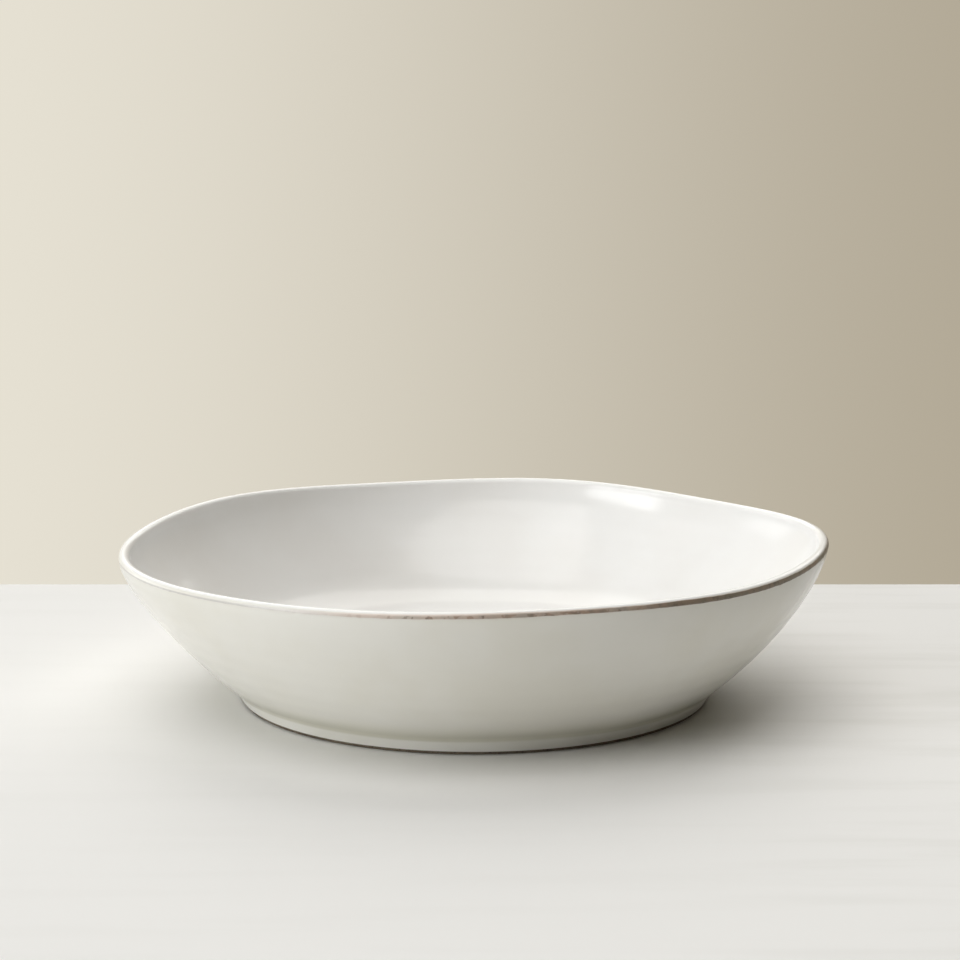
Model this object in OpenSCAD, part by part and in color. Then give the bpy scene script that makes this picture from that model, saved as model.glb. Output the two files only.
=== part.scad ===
// Low bowl of glazed stoneware with a hand-shaped rim, standing on a turned foot ring.
// Sizes are in millimetres. The origin is the centre of the foot on the table, and +Z is up.
// Every piece is turned from a section, drawn as radius and height, and the rim's waves move it.

/* [Rim] */
// Mean radius of the bowl, out to the lip
rim_radius = 118.5; // [108:0.5:135]
// Mean height of the top of the lip above the table
rim_height = 54.3; // [46:0.1:70]
// Thickness of the rounded lip
lip_thickness = 3.6; // [3:0.1:5]
// How far the lip strays in plan from a true circle
rim_sway = 1.5; // [0:0.1:3]
// How far the lip rises and dips
rim_dip = 0.6; // [0:0.1:1.5]
// Where the brown edge ends on the lip's outer shoulder, in degrees above level
band_top_angle = 45; // [20:1:70]

/* [Wall] */
// Thickness of the wall, glaze included
wall_thickness = 5; // [4:0.1:7]
// Slope at which the wall leaves the foot, in degrees above level
wall_start_angle = 34; // [20:1:45]
// Slope at which the wall reaches the lip, in degrees above level
wall_end_angle = 86; // [74:1:90]
// Length over which the wall holds its first slope
wall_start_pull = 10.5; // [6:0.5:20]
// Length over which the wall nears its last slope
wall_end_pull = 16; // [8:0.5:24]

/* [Floor] */
// Thickness of the floor, from the underside of the clay to the glazed inside
floor_thickness = 6; // [4.5:0.1:9]
// Length of floor that the curve up into the wall takes
well_blend = 16; // [12:0.5:24]

/* [Foot] */
// Radius of the foot ring at the table, glaze included
foot_radius = 80.4; // [72:0.1:88]
// Height of the foot ring
foot_height = 5.8; // [4.6:0.1:9]
// Width of the foot ring at the table, glaze included
foot_width = 6.4; // [5:0.1:10]
// How far the outer face of the foot ring widens from the table to the crease
foot_flare = 3; // [1:0.1:4.5]
// How far the inner face of the foot ring leans in from the table to its top
foot_lean = 0.2; // [0:0.05:0.8]
// Radius of the foot ring's rounded lower edges
foot_edge_radius = 0.5; // [0.3:0.1:1.2]
// Height of the bare clay left above a rounded edge
bare_height = 0.6; // [0:0.05:1]

/* [Glaze] */
// Thickness of the glaze
glaze = 0.4; // [0.3:0.05:0.6]
// Reach of the glaze that pools in the crease above the foot
pool = 1.6; // [1:0.1:2.6]

/* [Hidden] */

clay_color = "#6f5c45";
foot_color = "#5c4a38";
glaze_color = "#eeece4";
band_color = "#5e4534";

// Facets round each piece, and steps along the curves of its section
ring_steps = 72;
wall_steps = 10;
blend_steps = 5;
shoulder_steps = 3;
lip_steps = 6;
edge_steps = 4;
pool_steps = 3;

// The lip's plan is a circle with waves round it, and its height has waves of its own.
// Each row holds how many waves go round, their share of the sway or dip, and a crest's angle.
sway_shares = [[2, 1, 25], [3, 0.6, -15], [4, 0.8, 12], [5, 0.2, 0], [6, 0.6, 12]];
dip_shares = [[2, 1, -45], [3, 1, 35], [4, 0.6, -15], [5, 0.6, 5], [6, 0.2, 8]];
// Power by which the waves fade from the lip down to the level of the floor
fade_power = 2.2;

// Share of the wall's run at which the inside leaves the floor's curve and follows the wall
well_end_share = 0.38;
// Share of the wall's run from which the wall thins towards the lip
thin_start_share = 0.45;

lip_radius = lip_thickness / 2;
lip_tilt = wall_end_angle - 90;
lip_centre = [rim_radius - lip_radius, rim_height - lip_radius];
floor_top = foot_height + floor_thickness;
foot_inner_radius = foot_radius - foot_width;
clay_foot_radius = foot_radius - glaze;
bare_top = foot_edge_radius + bare_height;
// The foot ring's rounded lower edges, then the outer face's slope, its lower end and the crease above
foot_inner_centre = [foot_inner_radius + foot_edge_radius, foot_edge_radius];
foot_outer_centre = [clay_foot_radius - foot_edge_radius, foot_edge_radius];
flare_angle = atan(foot_flare / (foot_height - foot_edge_radius));
foot_face_low = foot_outer_centre + foot_edge_radius * heading(-flare_angle);
crease = [clay_foot_radius + foot_flare, foot_height];
wall_foot = crease + [glaze, 0];
wall_top = lip_centre + lip_radius * heading(lip_tilt);
// Flat facets are drawn round the true circle, so they never cut into the round foot ring
facet_share = 1 / cos(180 / ring_steps);

// Four guide points of the curve of the finished outside, from the foot's crease to the lip
wall_guides = [
    wall_foot,
    wall_foot + wall_start_pull * heading(wall_start_angle),
    wall_top - wall_end_pull * heading(wall_end_angle),
    wall_top
];

// Unit direction at an angle above level
function heading(angle) = [cos(angle), sin(angle)];

// Unit direction a quarter turn to the left of another
function left_of(v) = [-v[1], v[0]] / norm(v);

function total(list, i = 0) = i < len(list) ? list[i] + total(list, i + 1) : 0;

function reversed(list) = [for (i = [len(list) - 1:-1:0]) list[i]];

function without_first(list) = [for (i = [1:len(list) - 1]) list[i]];

// Rise from 0 to 1 that starts and ends level
function eased(t) = let (u = min(1, max(0, t))) u * u * (3 - 2 * u);

// Points of an arc about a centre
function arc(centre, radius, from, to, steps) =
    [for (i = [0:steps]) centre + radius * heading(from + (to - from) * i / steps)];

// Points of a curve that leaves a towards the corner and reaches b from it
function rounded(a, corner, b, steps) =
    [for (i = [0:steps]) let (t = i / steps)
        pow(1 - t, 2) * a + 2 * t * (1 - t) * corner + pow(t, 2) * b];

// Point and direction of the wall's outside at a share of its run
function wall_outside(t) =
    let (g = wall_guides)
    pow(1 - t, 3) * g[0] + 3 * t * pow(1 - t, 2) * g[1]
    + 3 * pow(t, 2) * (1 - t) * g[2] + pow(t, 3) * g[3];
function wall_direction(t) =
    let (g = wall_guides)
    pow(1 - t, 2) * (g[1] - g[0]) + 2 * t * (1 - t) * (g[2] - g[1]) + pow(t, 2) * (g[3] - g[2]);

// Point of the wall at a share of its run and a depth under its outside
function wall_point(t, depth) = wall_outside(t) + depth * left_of(wall_direction(t));

// Points of the wall from a share of its run up to the lip, at one depth
function wall_points(from, depth) =
    [for (i = [0:wall_steps]) wall_point(from + (1 - from) * i / wall_steps, depth)];

// Thickness of the finished wall at a share of its run
function wall_thickness_at(t) =
    wall_thickness
    + (lip_thickness - wall_thickness) * eased((t - thin_start_share) / (1 - thin_start_share));

// Points of the inside from the centre to just under the lip, at a depth under the finish
function inside_points(depth) =
    let (
        level = floor_top - depth,
        slope = wall_direction(well_end_share),
        join = wall_point(well_end_share, wall_thickness_at(well_end_share) - depth),
        corner = join - slope * (join[1] - level) / slope[1],
        run = [for (i = [1:wall_steps - 1]) well_end_share + (1 - well_end_share) * i / wall_steps]
    )
    concat(
        [[0, level]],
        rounded(corner - [well_blend, 0], corner, join, blend_steps),
        [for (t = run) wall_point(t, wall_thickness_at(t) - depth)]
    );

// The lip's outer shoulder, which the brown edge covers, and its top and inner side
function lip_shoulder(depth) =
    arc(lip_centre, lip_radius - depth, lip_tilt, band_top_angle, shoulder_steps);
function lip_top(depth) =
    arc(lip_centre, lip_radius - depth, band_top_angle, lip_tilt + 180, lip_steps);

// Points of the clay on the foot ring's outer and inner faces at a height
function foot_outside(height) =
    let (share = (height - foot_face_low[1]) / (crease[1] - foot_face_low[1]))
    foot_face_low + share * (crease - foot_face_low);
function foot_inside(height) =
    let (share = (height - foot_edge_radius) / (foot_height - foot_edge_radius))
    [foot_inner_radius - foot_lean * share, height];

// Reach of the rim's waves at an angle, as a share of the sway or dip
function waves(rows, angle) =
    total([for (row = rows) row[1] * cos(row[0] * (angle - row[2]))]);

// Share of the waves that is left at a height
function wave_share(height) =
    let (rise = (height - floor_top) / (rim_height - lip_thickness - floor_top))
    pow(min(1, max(0, rise)), fade_power);

// A point of the section, turned to an angle and moved by the rim's waves
function thrown_point(p, angle) =
    let (
        share = wave_share(p[1]),
        radius = facet_share * (p[0] + share * rim_sway * waves(sway_shares, angle))
    )
    [radius * cos(angle), radius * sin(angle), p[1] + share * rim_dip * waves(dip_shares, angle)];

function thrown_points(section) =
    [for (p = section) for (i = [0:ring_steps - 1]) thrown_point(p, 360 * i / ring_steps)];

// Facets between two rings of points
function strip(ring, next) =
    [for (i = [0:ring_steps - 1])
        let (
            j = (i + 1) % ring_steps,
            a = ring * ring_steps,
            b = next * ring_steps
        )
        each [[a + i, b + i, b + j], [a + i, b + j, a + j]]];

// Hollow-centred solid, whose section is a closed outline
module thrown_ring(outline) {
    count = len(outline);
    faces = [for (k = [0:count - 1]) each strip(k, (k + 1) % count)];
    polyhedron(points = thrown_points(outline), faces = faces);
}

// Solid across the centre, whose section starts and ends on the centre line
module thrown_disc(outline) {
    count = len(outline) - 2;
    rings = [for (k = [1:count]) outline[k]];
    first_pole = count * ring_steps;
    last_pole = first_pole + 1;
    last_ring = (count - 1) * ring_steps;
    faces = concat(
        [for (k = [0:count - 2]) each strip(k, k + 1)],
        [for (i = [0:ring_steps - 1]) [first_pole, i, (i + 1) % ring_steps]],
        [for (i = [0:ring_steps - 1]) [last_pole, last_ring + (i + 1) % ring_steps, last_ring + i]]
    );
    poles = [[0, 0, outline[0][1]], [0, 0, outline[count + 1][1]]];
    polyhedron(points = concat(thrown_points(rings), poles), faces = faces);
}

// Fired clay of the wall and floor, which stands on the foot ring and carries the glaze
module clay_body() {
    color(clay_color) thrown_disc(concat(
        [[0, foot_height], crease],
        wall_points(0, glaze),
        without_first(lip_shoulder(glaze)),
        without_first(lip_top(glaze)),
        reversed(inside_points(glaze))
    ));
}

// Turned ring of bare clay that the bowl stands on
module foot_ring() {
    color(foot_color) rotate_extrude($fn = ring_steps) polygon(concat(
        [foot_inside(foot_height)],
        arc(foot_inner_centre, foot_edge_radius, 180, 270, edge_steps),
        arc(foot_outer_centre, foot_edge_radius, 270, 360 - flare_angle, edge_steps),
        [crease]
    ));
}

// Glaze of the hollow inside the foot ring, across the underside and down the ring's inner face
module base_glaze() {
    face_foot = foot_inside(bare_top);
    face_top = foot_inside(foot_height);
    color(glaze_color) rotate_extrude($fn = ring_steps) polygon([
        [0, foot_height],
        [0, foot_height - glaze],
        face_top - [glaze, glaze],
        face_foot - [glaze, 0],
        face_foot,
        face_top
    ]);
}

// Glaze of the outside, from the bare edge of the foot up to the brown edge of the lip
module outer_glaze() {
    bare_line = foot_outside(bare_top);
    pool_foot = foot_outside(foot_height - pool) + [glaze, 0];
    // The wall's curve sets out at three times its first pull for each whole run
    pool_end = pool / (3 * wall_start_pull);
    color(glaze_color) thrown_ring(concat(
        [bare_line, bare_line + [glaze, 0]],
        rounded(pool_foot, wall_foot, wall_point(pool_end, 0), pool_steps),
        without_first(wall_points(pool_end, 0)),
        reversed(wall_points(0, glaze)),
        [crease]
    ));
}

// Glaze of the inside and over the top of the lip, down to the brown edge
module inner_glaze() {
    color(glaze_color) thrown_disc(concat(
        inside_points(glaze),
        reversed(lip_top(glaze)),
        lip_top(0),
        reversed(inside_points(0))
    ));
}

// Brown edge on the lip's outer shoulder, where the glaze has run thin
module lip_band() {
    color(band_color) thrown_ring(concat(lip_shoulder(0), reversed(lip_shoulder(glaze))));
}

clay_body();
foot_ring();
base_glaze();
outer_glaze();
inner_glaze();
lip_band();
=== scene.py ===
"""Looks of the low bowl: glazed stoneware skins, brown lip edge and bare foot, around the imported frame.

Lengths are in metres. Sections are arrays of (radius, height), turned round the bowl's axis and moved
by the waves of the hand-shaped rim, as in the part's own construction.
"""
import math

import bpy
import numpy as np
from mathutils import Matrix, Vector, noise


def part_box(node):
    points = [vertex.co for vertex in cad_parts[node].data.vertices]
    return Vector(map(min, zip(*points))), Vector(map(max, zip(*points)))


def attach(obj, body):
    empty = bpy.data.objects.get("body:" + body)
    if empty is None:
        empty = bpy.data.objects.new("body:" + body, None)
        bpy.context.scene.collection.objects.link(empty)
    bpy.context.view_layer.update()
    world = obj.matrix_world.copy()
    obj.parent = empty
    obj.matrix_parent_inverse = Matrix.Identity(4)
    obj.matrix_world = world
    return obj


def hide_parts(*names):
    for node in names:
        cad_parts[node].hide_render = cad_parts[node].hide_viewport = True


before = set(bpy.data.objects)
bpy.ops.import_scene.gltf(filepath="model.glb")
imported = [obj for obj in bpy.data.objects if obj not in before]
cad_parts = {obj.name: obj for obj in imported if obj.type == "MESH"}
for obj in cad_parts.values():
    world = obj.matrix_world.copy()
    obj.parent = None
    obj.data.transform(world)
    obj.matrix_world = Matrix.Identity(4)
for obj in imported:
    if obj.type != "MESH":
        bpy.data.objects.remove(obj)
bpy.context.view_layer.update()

MM = 0.001

# Sizes of the bowl that the frame's boxes don't give
RIM_RADIUS = 118.5 * MM
RIM_HEIGHT = 54.3 * MM
RIM_SWAY = 1.5 * MM
RIM_DIP = 0.6 * MM
LIP_RADIUS = 1.8 * MM
BAND_TOP_ANGLE = 45
WALL_THICKNESS = 5 * MM
WALL_START_ANGLE = 34
WALL_END_ANGLE = 86
WALL_START_PULL = 10.5 * MM
WALL_END_PULL = 16 * MM
FLOOR_THICKNESS = 6 * MM
WELL_BLEND = 16 * MM
FOOT_RADIUS = 80.4 * MM
FOOT_WIDTH = 6.4 * MM
FOOT_FLARE = 3 * MM
FOOT_LEAN = 0.2 * MM
FOOT_EDGE_RADIUS = 0.5 * MM
BARE_HEIGHT = 0.6 * MM
GLAZE = 0.4 * MM
POOL = 1.6 * MM

# Waves round the rim: how many, their share of the sway or dip, and the angle of a crest
SWAY_SHARES = ((2, 1, 25), (3, 0.6, -15), (4, 0.8, 12), (5, 0.2, 0), (6, 0.6, 12))
DIP_SHARES = ((2, 1, -45), (3, 1, 35), (4, 0.6, -15), (5, 0.6, 5), (6, 0.2, 8))
# How fast the waves fade towards the floor
FADE_POWER = 2.2
# Where the well ends and where the wall starts to thin, as shares of the wall's run
WELL_END_SHARE = 0.38
THIN_START_SHARE = 0.45

# Sizes that follow from the frame and from those above
FOOT_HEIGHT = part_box("foot_ring")[1].z
FOOT_INNER_RADIUS = FOOT_RADIUS - FOOT_WIDTH
CLAY_FOOT_RADIUS = FOOT_RADIUS - GLAZE
BARE_TOP = FOOT_EDGE_RADIUS + BARE_HEIGHT
FLOOR_TOP = FOOT_HEIGHT + FLOOR_THICKNESS
LIP_CENTRE = np.array([RIM_RADIUS - LIP_RADIUS, RIM_HEIGHT - LIP_RADIUS])
LIP_TILT = WALL_END_ANGLE - 90

# Fineness of the meshes: steps round the axis, and along each curve of a section
AROUND = 320
WALL_STEPS = 60
WELL_STEPS = 34
FLOOR_STEPS = 26
SHOULDER_STEPS = 8
LIP_STEPS = 18
POOL_STEPS = 12
EDGE_STEPS = 8
# Angle from which an edge of a mesh shows as a corner
SHARP_ANGLE = 40

# Unevenness left by the hands: broad, then fine, each with its size and height
BROAD_SIZE = 42 * MM
BROAD_HEIGHT = 0.13 * MM
FINE_SIZE = 13 * MM
FINE_HEIGHT = 0.03 * MM
# Share of the unevenness and ridges that the base has
BASE_SHARE = 0.5
# Ridges left by throwing: how far apart they lie, their height, and where they set in from the axis
RIDGE_PITCH = 7.5 * MM
RIDGE_HEIGHT = 0.02 * MM
RIDGE_FADE = 16 * MM
# The finish keeps to its section at the seams between skins, and is free of it this far away
SEAM_FADE = 4 * MM
# The outside glaze has drawn back under the brown edge, more in some places than in others
DRAWN_BACK = 0.16 * MM
DRAWN_BACK_LENGTH = 1.4 * MM
DRAWN_BACK_SIZE = 6 * MM
DRAWN_BACK_SHARE = 0.7
# Height in which the outside glaze swells out from its lower line on the foot
GLAZE_LINE_HEIGHT = 0.5 * MM
# Glaze that has gathered in the crease, whose darker colour is also painted shade: how far it reaches up
# the wall and down the foot, how thick it lies, and the share of that to which the broad unevenness adds
POOL_AND_SHADE_REACH = 12 * MM
POOL_AND_SHADE_DROP = 1.6 * MM
POOL_HEIGHT = 0.15 * MM
POOL_EVEN_SHARE = 0.5
# Grit of the bare clay
GRIT_SIZE = 2.5 * MM
GRIT_DEPTH = 0.07 * MM
# A way below the lip at which neither brown nor stain shows, for glaze that doesn't meet the lip
CLEAR_OF_EDGE = -1.6 * MM


def heading(angle):
    """Unit direction at an angle above level, in degrees."""
    return np.array([math.cos(math.radians(angle)), math.sin(math.radians(angle))])


def eased(t):
    """Rise from 0 to 1 that starts and ends level."""
    u = np.clip(t, 0, 1)
    return u * u * (3 - 2 * u)


# Points of the clay's foot, and the guides of the curve that the outside of the wall follows
FLARE_ANGLE = math.degrees(math.atan2(FOOT_FLARE, FOOT_HEIGHT - FOOT_EDGE_RADIUS))
FOOT_INNER_CENTRE = np.array([FOOT_INNER_RADIUS + FOOT_EDGE_RADIUS, FOOT_EDGE_RADIUS])
FOOT_OUTER_CENTRE = np.array([CLAY_FOOT_RADIUS - FOOT_EDGE_RADIUS, FOOT_EDGE_RADIUS])
FOOT_FACE_LOW = FOOT_OUTER_CENTRE + FOOT_EDGE_RADIUS * heading(-FLARE_ANGLE)
CREASE = np.array([CLAY_FOOT_RADIUS + FOOT_FLARE, FOOT_HEIGHT])
WALL_FOOT = CREASE + [GLAZE, 0]
WALL_TOP = LIP_CENTRE + LIP_RADIUS * heading(LIP_TILT)
WALL_GUIDES = (
    WALL_FOOT,
    WALL_FOOT + WALL_START_PULL * heading(WALL_START_ANGLE),
    WALL_TOP - WALL_END_PULL * heading(WALL_END_ANGLE),
    WALL_TOP,
)


def column(t):
    """Shares as a column, so that they multiply points."""
    return np.atleast_1d(np.asarray(t, float))[:, None]


def left_of(directions):
    """Unit directions a quarter turn to the left."""
    turned_left = np.stack([-directions[:, 1], directions[:, 0]], 1)
    return turned_left / np.linalg.norm(turned_left, axis=1)[:, None]


def wall_outside(t):
    """Points of the wall's outside at shares of its run."""
    a, b, c, d = WALL_GUIDES
    t = column(t)
    return (1 - t) ** 3 * a + 3 * t * (1 - t) ** 2 * b + 3 * t**2 * (1 - t) * c + t**3 * d


def wall_direction(t):
    """Directions up the wall's outside at shares of its run, of no set length."""
    a, b, c, d = WALL_GUIDES
    t = column(t)
    return (1 - t) ** 2 * (b - a) + 2 * t * (1 - t) * (c - b) + t**2 * (d - c)


def wall_point(t, depth):
    """Points of the wall at shares of its run, at a depth under its outside."""
    return wall_outside(t) + column(depth) * left_of(wall_direction(t))


def wall_thickness_at(t):
    """Thickness of the wall at shares of its run, down to the lip's at the top."""
    thinning = eased((t - THIN_START_SHARE) / (1 - THIN_START_SHARE))
    return WALL_THICKNESS + (2 * LIP_RADIUS - WALL_THICKNESS) * thinning


def rounded(a, corner, b, steps):
    """Curve that leaves a towards the corner and reaches b from it."""
    t = column(np.linspace(0, 1, steps + 1))
    return (1 - t) ** 2 * a + 2 * t * (1 - t) * corner + t**2 * b


def arc(centre, radius, start, end, steps):
    """Points of a circle from one angle to another."""
    angles = np.linspace(start, end, steps + 1)
    return np.array([centre + radius * heading(a) for a in angles])


def inside_points(depth):
    """Section of the inside from the centre to just under the lip."""
    level = FLOOR_TOP - depth
    slope = wall_direction(WELL_END_SHARE)[0]
    join = wall_point(WELL_END_SHARE, wall_thickness_at(WELL_END_SHARE) - depth)[0]
    corner = join - slope * (join[1] - level) / slope[1]
    start = corner - np.array([WELL_BLEND, 0])
    floor = np.array([[start[0] * i / FLOOR_STEPS, level] for i in range(FLOOR_STEPS)])
    well = rounded(start, corner, join, WELL_STEPS)
    run = np.linspace(WELL_END_SHARE, 1, WALL_STEPS + 1)[1:-1]
    wall = wall_point(run, wall_thickness_at(run) - depth)
    return np.vstack([floor, well, wall])


def lip_shoulder(depth):
    """Section of the lip's outer shoulder, which the brown band covers."""
    return arc(LIP_CENTRE, LIP_RADIUS - depth, LIP_TILT, BAND_TOP_ANGLE, SHOULDER_STEPS)


def lip_top(depth):
    """Section of the rest of the lip, over its top and down to the inside."""
    return arc(LIP_CENTRE, LIP_RADIUS - depth, BAND_TOP_ANGLE, LIP_TILT + 180, LIP_STEPS)


def foot_outside(height):
    """Point of the clay's outer face on the foot ring."""
    share = (height - FOOT_FACE_LOW[1]) / (CREASE[1] - FOOT_FACE_LOW[1])
    return FOOT_FACE_LOW + share * (CREASE - FOOT_FACE_LOW)


def foot_inside(height):
    """Point of the clay's inner face on the foot ring."""
    share = (height - FOOT_EDGE_RADIUS) / (FOOT_HEIGHT - FOOT_EDGE_RADIUS)
    return np.array([FOOT_INNER_RADIUS - FOOT_LEAN * share, height])


def waves(rows, angles):
    """Sum of the rows' waves at each angle round the axis."""
    return sum(share * np.cos(count * (angles - math.radians(crest))) for count, share, crest in rows)


def wave_share(heights):
    """Share of the rim's waves that reaches each height of a section."""
    rise_share = (heights - FLOOR_TOP) / (RIM_HEIGHT - 2 * LIP_RADIUS - FLOOR_TOP)
    return np.clip(rise_share, 0, 1) ** FADE_POWER


def run_along(points):
    """Length along a section at each of its points."""
    steps = np.linalg.norm(np.diff(points, axis=0), axis=1)
    return np.concatenate([[0], np.cumsum(steps)])


def noise_over(points, size):
    """Smooth noise from -1 to 1 at each point of an array, with features about as large as size."""
    flat = points.reshape(-1, 3) / size
    values = [noise.noise(Vector(p)) for p in flat]
    return np.array(values).reshape(points.shape[:-1])


def unevenness(points):
    """Height of the handwork's unevenness at each point."""
    broad = BROAD_HEIGHT * noise_over(points, BROAD_SIZE)
    return broad + FINE_HEIGHT * noise_over(points, FINE_SIZE)


def ridges(points, run):
    """Shallow spiral ridges that follow the run of a section and fade out at the axis."""
    turn = np.arctan2(points[..., 1], points[..., 0])
    fade = eased(np.hypot(points[..., 0], points[..., 1]) / RIDGE_FADE)
    return RIDGE_HEIGHT * fade * np.sin(2 * math.pi * run[:, None] / RIDGE_PITCH + turn)


def clear_of(way):
    """Share that rises from 0 at a seam to 1 where the finish is free of it."""
    return eased(np.abs(way) / SEAM_FADE)[:, None]


def turned(section, angles):
    """Points of a section at each angle, moved by the rim's waves."""
    share = wave_share(section[:, 1])[:, None]
    radius = section[:, :1] + share * RIM_SWAY * waves(SWAY_SHARES, angles)
    height = section[:, 1:] + share * RIM_DIP * waves(DIP_SHARES, angles)
    return np.stack([radius * np.cos(angles), radius * np.sin(angles), height], -1)


def outward(section, closed):
    """Unit directions out of the solid along a section that has its solid on the left."""
    if closed:
        ahead = np.roll(section, -1, axis=0)
        behind = np.roll(section, 1, axis=0)
    else:
        ahead = np.vstack([section[1:], section[-1:]])
        behind = np.vstack([section[:1], section[:-1]])
    return -left_of(ahead - behind)


def ring_faces(count, closed):
    """Faces between rings of points, and between an open piece's end rings and its two poles."""
    next_step = [(i + 1) % AROUND for i in range(AROUND)]
    faces = []
    for k in range(count if closed else count - 1):
        low = k * AROUND
        high = (k + 1) % count * AROUND
        faces += [(low + i, low + j, high + j, high + i) for i, j in enumerate(next_step)]
    if not closed:
        first_pole = count * AROUND
        last_ring = (count - 1) * AROUND
        faces += [(first_pole, j, i) for i, j in enumerate(next_step)]
        faces += [(first_pole + 1, last_ring + i, last_ring + j) for i, j in enumerate(next_step)]
    return faces


def thrown_piece(name, section, lift, lip_run, pool, closed):
    """Mesh object turned from a section.

    lift maps the turned points to how far each stands out of the section. lip_run is the way from the
    lower line of the brown edge, and the argument after it the share of pooled glaze and painted shade,
    at each section point or at all.
    A closed section makes a ring, and an open one starts and ends on the axis.
    """
    angles = np.linspace(0, 2 * math.pi, AROUND, endpoint=False)
    rings = slice(None) if closed else slice(1, -1)
    points = turned(section, angles)[rings]
    out = outward(section, closed)[rings]
    height = lift(points)
    points[..., 0] += out[:, :1] * height * np.cos(angles)
    points[..., 1] += out[:, :1] * height * np.sin(angles)
    points[..., 2] += out[:, 1:] * height
    vertices = points.reshape(-1, 3).tolist()
    shares = [np.broadcast_to(np.asarray(v, float), len(section)) for v in (lip_run, pool)]
    values = [np.repeat(v[rings], AROUND) for v in shares]
    if not closed:
        vertices += [(0, 0, ring[:, 2].mean()) for ring in (points[0], points[-1])]
        values = [np.append(v, (v[0], v[-1])) for v in values]
    faces = ring_faces(len(points), closed)
    mesh = bpy.data.meshes.new(name)
    mesh.from_pydata(vertices, [], faces)
    for attribute, data in zip(("lip_run", "pool"), values):
        mesh.attributes.new(attribute, "FLOAT", "POINT").data.foreach_set("value", data)
    mesh.polygons.foreach_set("use_smooth", [True] * len(faces))
    mesh.set_sharp_from_angle(angle=math.radians(SHARP_ANGLE))
    piece = bpy.data.objects.new(name, mesh)
    bpy.context.scene.collection.objects.link(piece)
    return piece


def make_outer_glaze():
    bare_line = foot_outside(BARE_TOP)
    pool_foot = foot_outside(FOOT_HEIGHT - POOL) + [GLAZE, 0]
    pool_end = POOL / (3 * WALL_START_PULL)
    roll = np.linspace(0, math.pi / 2, EDGE_STEPS)
    edge = bare_line + np.stack([GLAZE * np.sin(roll), GLAZE_LINE_HEIGHT * (1 - np.cos(roll))], 1)
    fillet = rounded(pool_foot, WALL_FOOT, wall_point(pool_end, 0)[0], POOL_STEPS)
    wall = wall_point(np.linspace(pool_end, 1, WALL_STEPS + 1)[1:], 0)
    finish = np.vstack([edge, fillet, wall])
    clay_side = wall_point(np.linspace(1, 0, WALL_STEPS // 2 + 1), GLAZE)
    section = np.vstack([finish, clay_side, [CREASE]])
    finished = len(finish)
    run = run_along(finish)
    lip_run = np.full(len(section), -run[-1])
    lip_run[:finished] = run - run[-1]
    # Share of glaze pooled at the crease, which the material also paints darker as shade
    in_pool = np.zeros(len(section))
    from_crease = np.linalg.norm(finish - WALL_FOOT, axis=1)
    reach = np.where(finish[:, 1] < FOOT_HEIGHT, POOL_AND_SHADE_DROP, POOL_AND_SHADE_REACH)
    in_pool[:finished] = 1 - eased(from_crease / reach)

    def lift(points):
        height = np.zeros(points.shape[:2])
        face = points[:finished]
        way = lip_run[:finished]
        free = clear_of(run) * clear_of(way)
        height[:finished] = free * (unevenness(face) + ridges(face, run))
        drawn_back = DRAWN_BACK * (1 + DRAWN_BACK_SHARE * noise_over(face, DRAWN_BACK_SIZE))
        height[:finished] -= drawn_back * np.exp(way / DRAWN_BACK_LENGTH)[:, None]
        swell = POOL_EVEN_SHARE + noise_over(face, BROAD_SIZE)
        height[:finished] += POOL_HEIGHT * in_pool[:finished, None] * swell
        return height

    return thrown_piece("outer_glaze_skin", section, lift, lip_run, in_pool, closed=True)


def make_inner_glaze():
    clay_side = np.vstack([inside_points(GLAZE), lip_top(GLAZE)[::-1]])
    finish = np.vstack([lip_top(0), inside_points(0)[::-1]])
    section = np.vstack([clay_side, finish])
    start = len(clay_side)
    run = run_along(finish)
    shoulder = LIP_RADIUS * math.radians(BAND_TOP_ANGLE - LIP_TILT)
    lip_run = np.full(len(section), shoulder)
    lip_run[start:] = shoulder + run

    def lift(points):
        height = np.zeros(points.shape[:2])
        first = start - 1
        face = points[first:]
        way = run[:len(face)]
        height[first:] = clear_of(way) * (unevenness(face) + ridges(face, way))
        return height

    return thrown_piece("inner_glaze_skin", section, lift, lip_run, 0.0, closed=False)


def make_lip_band():
    finish = lip_shoulder(0)
    section = np.vstack([finish, lip_shoulder(GLAZE)[::-1]])
    lip_run = np.concatenate([run_along(finish), run_along(finish)[::-1]])

    def lift(points):
        return np.zeros(points.shape[:2])

    return thrown_piece("lip_edge", section, lift, lip_run, 0.0, closed=True)


def make_foot_ring():
    level = np.linspace(FOOT_INNER_CENTRE, FOOT_OUTER_CENTRE, EDGE_STEPS + 1)[1:-1]
    section = np.vstack([
        [foot_inside(FOOT_HEIGHT)],
        arc(FOOT_INNER_CENTRE, FOOT_EDGE_RADIUS, 180, 270, EDGE_STEPS),
        level - [0, FOOT_EDGE_RADIUS],
        arc(FOOT_OUTER_CENTRE, FOOT_EDGE_RADIUS, -90, -FLARE_ANGLE, EDGE_STEPS),
        [CREASE],
    ])

    def lift(points):
        low = 1 - eased(points[..., 2] / BARE_TOP)
        return -GRIT_DEPTH * low * np.abs(noise_over(points, GRIT_SIZE))

    return thrown_piece("foot_ring_clay", section, lift, 0.0, 0.0, closed=True)


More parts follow.
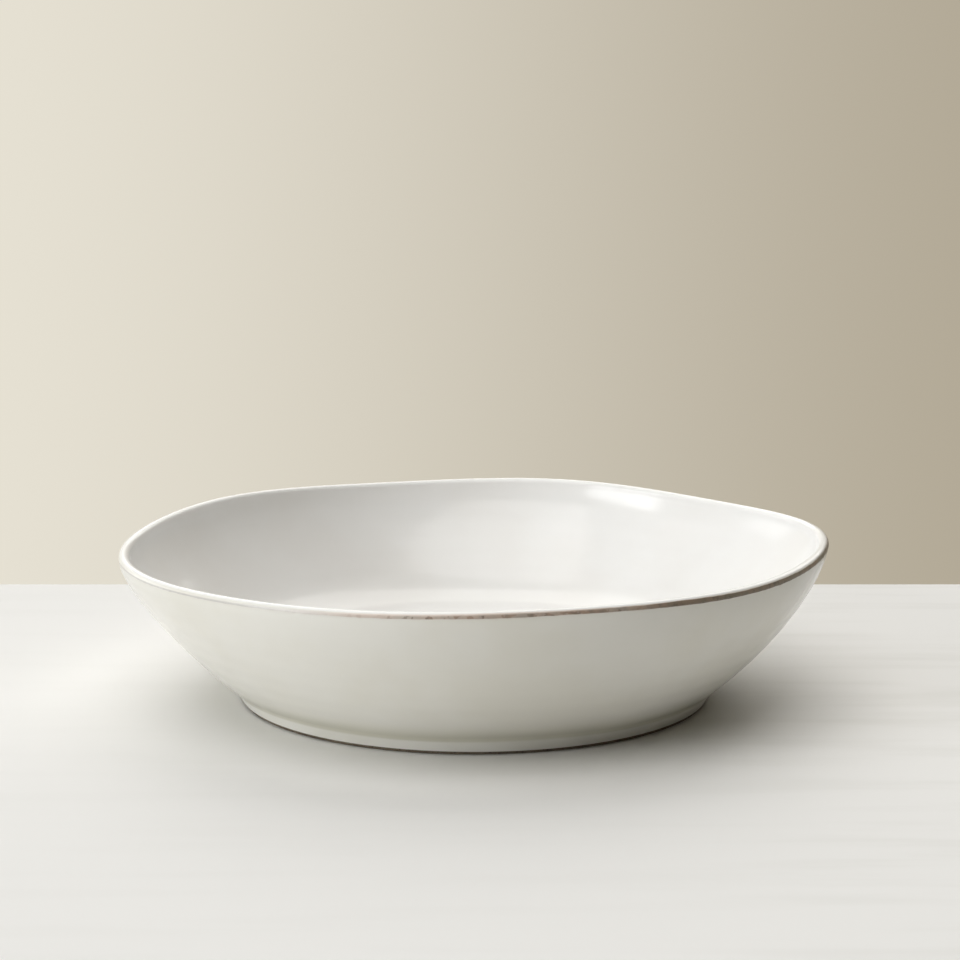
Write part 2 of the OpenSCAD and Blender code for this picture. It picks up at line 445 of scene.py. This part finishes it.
def make_base_glaze():
    face_foot = foot_inside(BARE_TOP)
    face_top = foot_inside(FOOT_HEIGHT)
    corner = face_top - [GLAZE, GLAZE]
    reach = np.array([POOL, 0])
    drop = np.array([0, POOL])
    level = np.linspace([0, corner[1]], corner - reach, FLOOR_STEPS, endpoint=False)
    section = np.vstack([
        level,
        rounded(corner - reach, corner, corner - drop, POOL_STEPS),
        [face_foot - [GLAZE, 0], face_foot, face_top, [0, FOOT_HEIGHT]],
    ])
    under = len(level)

    def lift(points):
        height = np.zeros(points.shape[:2])
        face = points[:under - 1]
        way = np.linalg.norm(face[..., :2], axis=-1)[:, 0]
        height[:under - 1] = BASE_SHARE * (unevenness(face) + ridges(face, way))
        return height

    return thrown_piece("base_glaze_skin", section, lift, CLEAR_OF_EDGE, 0.0, closed=False)


# Numbers of the colour sockets on a Mix node
MIX_A = 6
MIX_B = 7
MIX_RESULT = 2

# Colours, as red, green, blue and opacity
# The glaze's own white, made warmer outside as painted warm shade and brighter inside as painted light
OUTSIDE_WHITES_PAINTED_WARM_SHADE = ((0.86, 0.845, 0.785, 1), (0.83, 0.81, 0.735, 1))
INSIDE_WHITES_PAINTED_LIGHT = ((0.93, 0.925, 0.91, 1), (0.91, 0.90, 0.88, 1))
# Glaze pooled in the crease, darker and warmer, which also stands as painted shade low on the wall
GLAZE_POOLED_AND_SHADE = (0.70, 0.68, 0.57, 1)
EDGE_UMBER = (0.20, 0.17, 0.125, 1)
EDGE_RUST = (0.31, 0.215, 0.155, 1)
EDGE_DARK = (0.09, 0.075, 0.055, 1)
EDGE_FRINGE = (0.79, 0.69, 0.62, 1)
EDGE_GREY = (0.62, 0.595, 0.57, 1)
EDGE_STAIN = (0.70, 0.64, 0.54, 1)
# Browns of the bare clay, darkened beyond its own colour as painted shadow where the foot meets the table
CLAY_BROWN_AND_CONTACT_SHADE = (0.13, 0.10, 0.07, 1)
CLAY_SAND_AND_CONTACT_SHADE = (0.20, 0.16, 0.11, 1)
CLAY_SPECK = (0.05, 0.04, 0.03, 1)
TABLE_WHITE = (0.85, 0.845, 0.83, 1)
TABLE_STREAK = (0.805, 0.80, 0.78, 1)
# Backdrop, painted light on the left and painted shade on the right
BACKDROP_LIT_LEFT = (0.80, 0.76, 0.66, 1)
BACKDROP_SHADED_RIGHT = (0.44, 0.39, 0.30, 1)

# Noise in the finishes: its size, then its detail
EDGE_WAVER = (22 * MM, 2.0)
EDGE_PATCHES = (4 * MM, 2.0)
GLAZE_BUMPS = (4 * MM, 2.0)
CLAY_GRIT = (0.7 * MM, 4.0)
TABLE_STREAKS = (120 * MM, 4.0)

# Patches in the finishes: size and detail of their noise, the noise at which they set in and are full,
# and the values there where they aren't 0 and 1
WHITE_CLOUDS = (34 * MM, 3.0, 0.35, 0.65)
ROUGHNESS_CLOUDS = (16 * MM, 2.0, 0.3, 0.7, 0.14, 0.2)
RUST_PATCHES = (7 * MM, 2.0, 0.35, 0.55)
DARK_PATCHES = (2.6 * MM, 3.0, 0.5, 0.72, 0.0, 0.7)
EDGE_SPECKS = (2.4 * MM, 2.5, 0.4, 0.58)
CLAY_CLOUDS = (8 * MM, 2.0, 0.35, 0.65)

# The brown edge from left to right. Each row has two places across the bowl, and the values there
# where they aren't 0 and 1
EDGE_SHIFT = (25 * MM, 85 * MM, -0.15 * MM, 0.35 * MM)
CORE_WIDTH = (-90 * MM, 20 * MM, 0.4 * MM, 1.1 * MM)
CORE_WIDTH_ADDED = (20 * MM, 60 * MM, 0.0, 0.3 * MM)
FRINGE_WIDTH = (-110 * MM, -20 * MM, 0.3 * MM, 1.3 * MM)
FRINGE_KEPT_SHARE = (-10 * MM, 60 * MM, 1.0, 0.25)
# At the lip's right tip the grey fringe widens, as painted shade on the side facing away from the lamps
SHADE_FRINGE_AT_TIP = (110 * MM, 119 * MM, 0.0, 1.4 * MM)
EDGE_STRENGTH = (-75 * MM, 15 * MM, 0.33, 0.66)
EDGE_STRENGTH_ADDED = (40 * MM, 80 * MM, 0.0, 0.34)
SPECK_STRENGTH = (-60 * MM, -5 * MM, 0.35, 0.78)
RUST_SHARE = (30 * MM, 75 * MM, 1.0, 0.45)
PINK_START = (-70 * MM, -30 * MM)
PINK_END = (80 * MM, 110 * MM, 1.0, 0.0)

# The same from the edge's lower line upwards, by the way from that line
LOWER_LINE = (0.1 * MM, 0.25 * MM)
SPECK_REACH = (0.8 * MM, 1.7 * MM, 1.0, 0.0)
STAIN_REACH = (-1.1 * MM, 0.0)
# How the edge fades over its fringe, by the share of the fringe's width
FRINGE_FADE = (-0.2, 1.0, 1.0, 0.0)
# How the small patches break up the stain
STAIN_PATCHES = (0.5, 0.75, 0.0, 0.5)
# The core's width wavers: its least share, and what the broad waver and the small patches add
CORE_LEAST_SHARE = 0.55
CORE_WAVER_SHARE = 0.6
CORE_PATCH_SHARE = 0.3
LOWER_LINE_WAVER = 0.4 * MM
# Where the fringe and then the brown show, by the strength of the edge
FRINGE_SHOWS = (0.0, 0.45)
BROWN_SHOWS = (0.25, 0.9)
# The edge is rougher than the white glaze by this much
EDGE_ROUGHNESS_ADDED = 0.28
GLAZE_BUMP_HEIGHT = 0.02 * MM

# Where the grit shows as dark specks, how it roughens the clay, and how high it stands
GRIT_SPECKS = (0.56, 0.68)
GRIT_ROUGHNESS = (0.3, 0.7, 0.75, 0.95)
GRIT_BUMP_HEIGHT = 0.15 * MM


def add_node(tree, kind, inputs=(), **settings):
    """Add a shader node, with its inputs set or linked by name or number."""
    node = tree.nodes.new("ShaderNode" + kind)
    for name, value in settings.items():
        setattr(node, name, value)
    for name, value in dict(inputs).items():
        if isinstance(value, bpy.types.NodeSocket):
            tree.links.new(value, node.inputs[name])
        else:
            node.inputs[name].default_value = value
    return node


def calculated(tree, operation, *values):
    """Result of a Math node."""
    return add_node(tree, "Math", enumerate(values), operation=operation).outputs[0]


def mixed(tree, share, first, second):
    """Colour between two colours, by the share of the second."""
    inputs = {"Factor": share, MIX_A: first, MIX_B: second}
    return add_node(tree, "Mix", inputs, data_type="RGBA").outputs[MIX_RESULT]


def rise(tree, value, low, high, bottom=0.0, top=1.0):
    """Smooth step from bottom to top as the value goes from low to high."""
    inputs = {"Value": value, "From Min": low, "From Max": high, "To Min": bottom, "To Max": top}
    return add_node(tree, "MapRange", inputs, interpolation_type="SMOOTHSTEP").outputs["Result"]


def mottle(tree, place, size, detail):
    """Noise from 0 to 1 with features about as large as size."""
    inputs = {"Vector": place, "Scale": 1 / size, "Detail": detail}
    return add_node(tree, "TexNoise", inputs).outputs["Fac"]


def patches(tree, place, size, detail, *levels):
    """Patches of noise, with the levels that rise takes."""
    return rise(tree, mottle(tree, place, size, detail), *levels)


def attribute_value(tree, name):
    """Value of a mesh attribute."""
    return add_node(tree, "Attribute", attribute_name=name).outputs["Fac"]


def place_across(tree, place):
    """Sideways place of a point."""
    return add_node(tree, "SeparateXYZ", {"Vector": place}).outputs["X"]


def new_material(name):
    """A material with one shader, and the place on the object in metres."""
    material = bpy.data.materials.new(name)
    material.use_nodes = True
    tree = material.node_tree
    place = add_node(tree, "TexCoord").outputs["Object"]
    return material, tree, tree.nodes["Principled BSDF"], place


def carve(tree, shader, height, depth):
    """Bump the surface by a height from 0 to 1 that stands for a depth in metres."""
    bump = add_node(tree, "Bump", {"Height": height, "Distance": depth})
    tree.links.new(bump.outputs["Normal"], shader.inputs["Normal"])


def edge_mask(tree, place):
    """Shares of the brown edge, of the stain under it, of rust in the brown and of pink in its fringe.

    The edge is broad and strong to the right, and thin and faint to the left.
    """
    across = place_across(tree, place)
    run = calculated(tree, "ADD", attribute_value(tree, "lip_run"), rise(tree, across, *EDGE_SHIFT))
    waver = mottle(tree, place, *EDGE_WAVER)
    patch = mottle(tree, place, *EDGE_PATCHES)
    uneven = calculated(tree, "MULTIPLY_ADD", waver, CORE_WAVER_SHARE, CORE_LEAST_SHARE)
    uneven = calculated(tree, "MULTIPLY_ADD", patch, CORE_PATCH_SHARE, uneven)
    core = rise(tree, across, *CORE_WIDTH)
    core = calculated(tree, "ADD", core, rise(tree, across, *CORE_WIDTH_ADDED))
    fringe = rise(tree, across, *FRINGE_WIDTH)
    fringe = calculated(tree, "MULTIPLY", fringe, rise(tree, across, *FRINGE_KEPT_SHARE))
    # The grey fringe added at the right tip is painted shade
    fringe = calculated(tree, "ADD", fringe, rise(tree, across, *SHADE_FRINGE_AT_TIP))
    beyond = calculated(tree, "SUBTRACT", run, calculated(tree, "MULTIPLY", core, uneven))
    upper = rise(tree, calculated(tree, "DIVIDE", beyond, fringe), *FRINGE_FADE)
    lower = rise(tree, calculated(tree, "MULTIPLY_ADD", patch, LOWER_LINE_WAVER, run), *LOWER_LINE)
    strength = rise(tree, across, *EDGE_STRENGTH)
    strength = calculated(tree, "ADD", strength, rise(tree, across, *EDGE_STRENGTH_ADDED))
    specks = patches(tree, place, *EDGE_SPECKS)
    specks = calculated(tree, "MULTIPLY", specks, rise(tree, run, *SPECK_REACH))
    specks = calculated(tree, "MULTIPLY", specks, rise(tree, across, *SPECK_STRENGTH))
    strength = calculated(tree, "MAXIMUM", strength, specks)
    mask = calculated(tree, "MULTIPLY", calculated(tree, "MULTIPLY", upper, lower), strength)
    stain = calculated(tree, "MULTIPLY", rise(tree, run, *STAIN_REACH), upper)
    stain = calculated(tree, "MULTIPLY", stain, rise(tree, patch, *STAIN_PATCHES))
    stain = calculated(tree, "MULTIPLY", stain, strength)
    rusty = rise(tree, across, *RUST_SHARE)
    pink = calculated(tree, "MULTIPLY", rise(tree, across, *PINK_START), rise(tree, across, *PINK_END))
    return mask, stain, rusty, pink


def make_glaze(name, whites):
    """White glaze, pooled and painted with shade in the crease, that breaks to brown along the lip's
    edge.
    """
    material, tree, shader, place = new_material(name)
    colour = mixed(tree, patches(tree, place, *WHITE_CLOUDS), *whites)
    # Pooled glaze near the crease, partly real and partly painted shade at the foot of the wall
    colour = mixed(tree, attribute_value(tree, "pool"), colour, GLAZE_POOLED_AND_SHADE)
    mask, stain, rusty, pink = edge_mask(tree, place)
    rusty = calculated(tree, "MULTIPLY", patches(tree, place, *RUST_PATCHES), rusty)
    brown = mixed(tree, rusty, EDGE_UMBER, EDGE_RUST)
    brown = mixed(tree, patches(tree, place, *DARK_PATCHES), brown, EDGE_DARK)
    colour = mixed(tree, stain, colour, EDGE_STAIN)
    fringe = mixed(tree, pink, EDGE_GREY, EDGE_FRINGE)
    colour = mixed(tree, rise(tree, mask, *FRINGE_SHOWS), colour, fringe)
    colour = mixed(tree, rise(tree, mask, *BROWN_SHOWS), colour, brown)
    tree.links.new(colour, shader.inputs["Base Color"])
    smooth = patches(tree, place, *ROUGHNESS_CLOUDS)
    rough = calculated(tree, "MULTIPLY_ADD", mask, EDGE_ROUGHNESS_ADDED, smooth)
    tree.links.new(rough, shader.inputs["Roughness"])
    carve(tree, shader, mottle(tree, place, *GLAZE_BUMPS), GLAZE_BUMP_HEIGHT)
    return material


def make_stoneware(name):
    """Bare fired clay with grit and dark specks, also darkened as painted contact shadow."""
    material, tree, shader, place = new_material(name)
    grit = mottle(tree, place, *CLAY_GRIT)
    colour = mixed(tree, patches(tree, place, *CLAY_CLOUDS), CLAY_BROWN_AND_CONTACT_SHADE, CLAY_SAND_AND_CONTACT_SHADE)
    colour = mixed(tree, rise(tree, grit, *GRIT_SPECKS), colour, CLAY_SPECK)
    tree.links.new(colour, shader.inputs["Base Color"])
    tree.links.new(rise(tree, grit, *GRIT_ROUGHNESS), shader.inputs["Roughness"])
    carve(tree, shader, grit, GRIT_BUMP_HEIGHT)
    return material


# The table's top is level with the foot, and its far edge shows behind the bowl
TABLE_BACK = 174.3 * MM
TABLE_FRONT = -1500 * MM
TABLE_HALF_WIDTH = 1300 * MM
TABLE_THICKNESS = 30 * MM
TABLE_EDGE_RADIUS = 1.5 * MM
TABLE_EDGE_STEPS = 3
TABLE_ROUGHNESS = 0.6
TABLE_SPECULAR = 0.1
# Streaks in its paint: how much finer they are from front to back, the noise from which they show, and
# two places across the table with the share of them there
STREAK_FINENESS = (1, 8, 8)
STREAK_SHOWS = (0.45, 0.7)
STREAK_SHARE = (20 * MM, 160 * MM, 0.25, 1.0)


def make_table_finish():
    """Pale paint with faint streaks that run from left to right."""
    material, tree, shader, place = new_material("table_paint")
    stretched = add_node(tree, "Mapping", {"Vector": place, "Scale": STREAK_FINENESS}).outputs["Vector"]
    streaks = rise(tree, mottle(tree, stretched, *TABLE_STREAKS), *STREAK_SHOWS)
    # The streaks grow stronger towards the right
    streak_share = rise(tree, place_across(tree, place), *STREAK_SHARE)
    colour = mixed(tree, calculated(tree, "MULTIPLY", streaks, streak_share), TABLE_WHITE, TABLE_STREAK)
    tree.links.new(colour, shader.inputs["Base Color"])
    shader.inputs["Roughness"].default_value = TABLE_ROUGHNESS
    shader.inputs["Specular IOR Level"].default_value = TABLE_SPECULAR
    return material


def make_table():
    low = Vector((-TABLE_HALF_WIDTH, TABLE_FRONT, -TABLE_THICKNESS))
    high = Vector((TABLE_HALF_WIDTH, TABLE_BACK, 0))
    corners = [(x, y, z) for x in (low.x, high.x) for y in (low.y, high.y) for z in (low.z, high.z)]
    faces = [(0, 1, 3, 2), (4, 6, 7, 5), (0, 4, 5, 1), (2, 3, 7, 6), (0, 2, 6, 4), (1, 5, 7, 3)]
    mesh = bpy.data.meshes.new("table")
    mesh.from_pydata(corners, [], faces)
    table = bpy.data.objects.new("table", mesh)
    bpy.context.scene.collection.objects.link(table)
    bevel = table.modifiers.new("edge", "BEVEL")
    bevel.width = TABLE_EDGE_RADIUS
    bevel.segments = TABLE_EDGE_STEPS
    mesh.materials.append(make_table_finish())


# Sideways reach of the backdrop's change from light to dark, painted light on the left and painted shade
# on the right, as a share of the distance
BACKDROP_SPREAD = 0.22
BACKDROP_STRENGTH = 1.0
# Faint light from all round, which the room sends back
ROOM_COLOUR = (1.0, 0.88, 0.68, 1)
ROOM_STRENGTH = 0.015


def make_world():
    """Backdrop, painted lit on the left and shaded on the right, for what the camera sees and the glaze
    reflects, and soft light for the rest.
    """
    world = bpy.data.worlds.new("studio")
    bpy.context.scene.world = world
    world.use_nodes = True
    tree = world.node_tree
    rays = add_node(tree, "LightPath").outputs
    seen = calculated(tree, "MAXIMUM", rays["Is Camera Ray"], rays["Is Glossy Ray"])
    seen = calculated(tree, "MAXIMUM", seen, rays["Is Transmission Ray"])
    direction = add_node(tree, "TexCoord").outputs["Generated"]
    share = rise(tree, place_across(tree, direction), -BACKDROP_SPREAD, BACKDROP_SPREAD)
    backdrop = mixed(tree, share, BACKDROP_LIT_LEFT, BACKDROP_SHADED_RIGHT)
    backdrop = add_node(tree, "Background", {"Color": backdrop, "Strength": BACKDROP_STRENGTH})
    light = add_node(tree, "Background", {"Color": ROOM_COLOUR, "Strength": ROOM_STRENGTH})
    shaders = {0: seen, 1: light.outputs[0], 2: backdrop.outputs[0]}
    both = add_node(tree, "MixShader", shaders)
    tree.links.new(both.outputs[0], tree.nodes["World Output"].inputs["Surface"])


# Point that the lights are aimed at, and how far from it they stand
LIGHT_TARGET = Vector((0, 0, 0.03))
LIGHT_DISTANCE = 3.4

# Colours of the light from the windows, cool on the left and warmer elsewhere
DAYLIGHT = (0.95, 0.975, 1.0)
ROOM_LIGHT = (1.0, 0.985, 0.95)

# Soft lights: the way each comes from, as degrees round from the right and up, its size, watts and colour
LIGHTS = (
    ("window_above", 180, 90, 3.2, 18, ROOM_LIGHT),
    ("window_behind", 86, 45, 3.6, 76, ROOM_LIGHT),
    ("window_high_left", 190, 45, 2.6, 16, DAYLIGHT),
    ("window_front", 246, 66, 2.8, 43, ROOM_LIGHT),
    ("window_low_left", 208, 12, 1.6, 47, DAYLIGHT),
    ("window_back_left", 150, 10, 1.6, 9, DAYLIGHT),
)


def make_light(name, turn, angle_up, size, power, colour):
    """Square soft light aimed at the bowl."""
    light = bpy.data.lights.new(name, "AREA")
    light.size = size
    light.energy = power
    light.color = colour
    lamp = bpy.data.objects.new(name, light)
    level, up = heading(angle_up)
    across, away = level * heading(turn)
    way = Vector((across, away, up))
    lamp.location = LIGHT_TARGET + LIGHT_DISTANCE * way
    lamp.rotation_euler = (-way).to_track_quat("-Z", "Y").to_euler()
    bpy.context.scene.collection.objects.link(lamp)


def make_lights():
    for row in LIGHTS:
        make_light(*row)


# Camera at the photograph's viewing angle: its lens and sensor in millimetres, its place, and its tilt
# up from straight down, in degrees
LENS = 103.08
SENSOR_WIDTH = 36
CLIP_START = 10 * MM
CAMERA_PLACE = (1.84 * MM, -925.1 * MM, 241.1 * MM)
CAMERA_TILT = 79.788


def make_camera():
    """Camera with a long lens, a little above the rim."""
    camera = bpy.data.cameras.new("camera")
    camera.lens = LENS
    camera.sensor_width = SENSOR_WIDTH
    camera.clip_start = CLIP_START
    viewer = bpy.data.objects.new("camera", camera)
    viewer.location = CAMERA_PLACE
    viewer.rotation_euler = (math.radians(CAMERA_TILT), 0, 0)
    bpy.context.scene.collection.objects.link(viewer)
    bpy.context.scene.camera = viewer


# Each node's piece, its material and the record's slot for it
PIECES = (
    ("outer_glaze", make_outer_glaze, "glaze_outside_painted_warm_shade", "white_glaze"),
    ("inner_glaze", make_inner_glaze, "glaze_inside_painted_light", "white_glaze"),
    ("base_glaze", make_base_glaze, "glaze_outside_painted_warm_shade", "white_glaze"),
    ("lip_band", make_lip_band, "glaze_edge", "brown_edge"),
    ("foot_ring", make_foot_ring, "stoneware", "stoneware"),
)


def make_bowl():
    """All pieces of the bowl, on their body and in their nodes' place."""
    finishes = {
        # Outside glaze painted warmer as shade, inside glaze painted brighter as light
        "glaze_outside_painted_warm_shade": make_glaze("glaze_outside_painted_warm_shade", OUTSIDE_WHITES_PAINTED_WARM_SHADE),
        "glaze_inside_painted_light": make_glaze("glaze_inside_painted_light", INSIDE_WHITES_PAINTED_LIGHT),
        "glaze_edge": make_glaze("glaze_edge", OUTSIDE_WHITES_PAINTED_WARM_SHADE),
        "stoneware": make_stoneware("stoneware"),
    }
    for node, make, finish, slot in PIECES:
        piece = make()
        piece.data.materials.append(finishes[finish])
        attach(piece, "root")
        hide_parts(node)
    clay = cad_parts["clay_body"]
    clay.data.materials.clear()
    clay.data.materials.append(finishes["stoneware"])


make_camera()
make_bowl()
make_table()
make_world()
make_lights()
bpy.context.scene.view_settings.view_transform = "Standard"
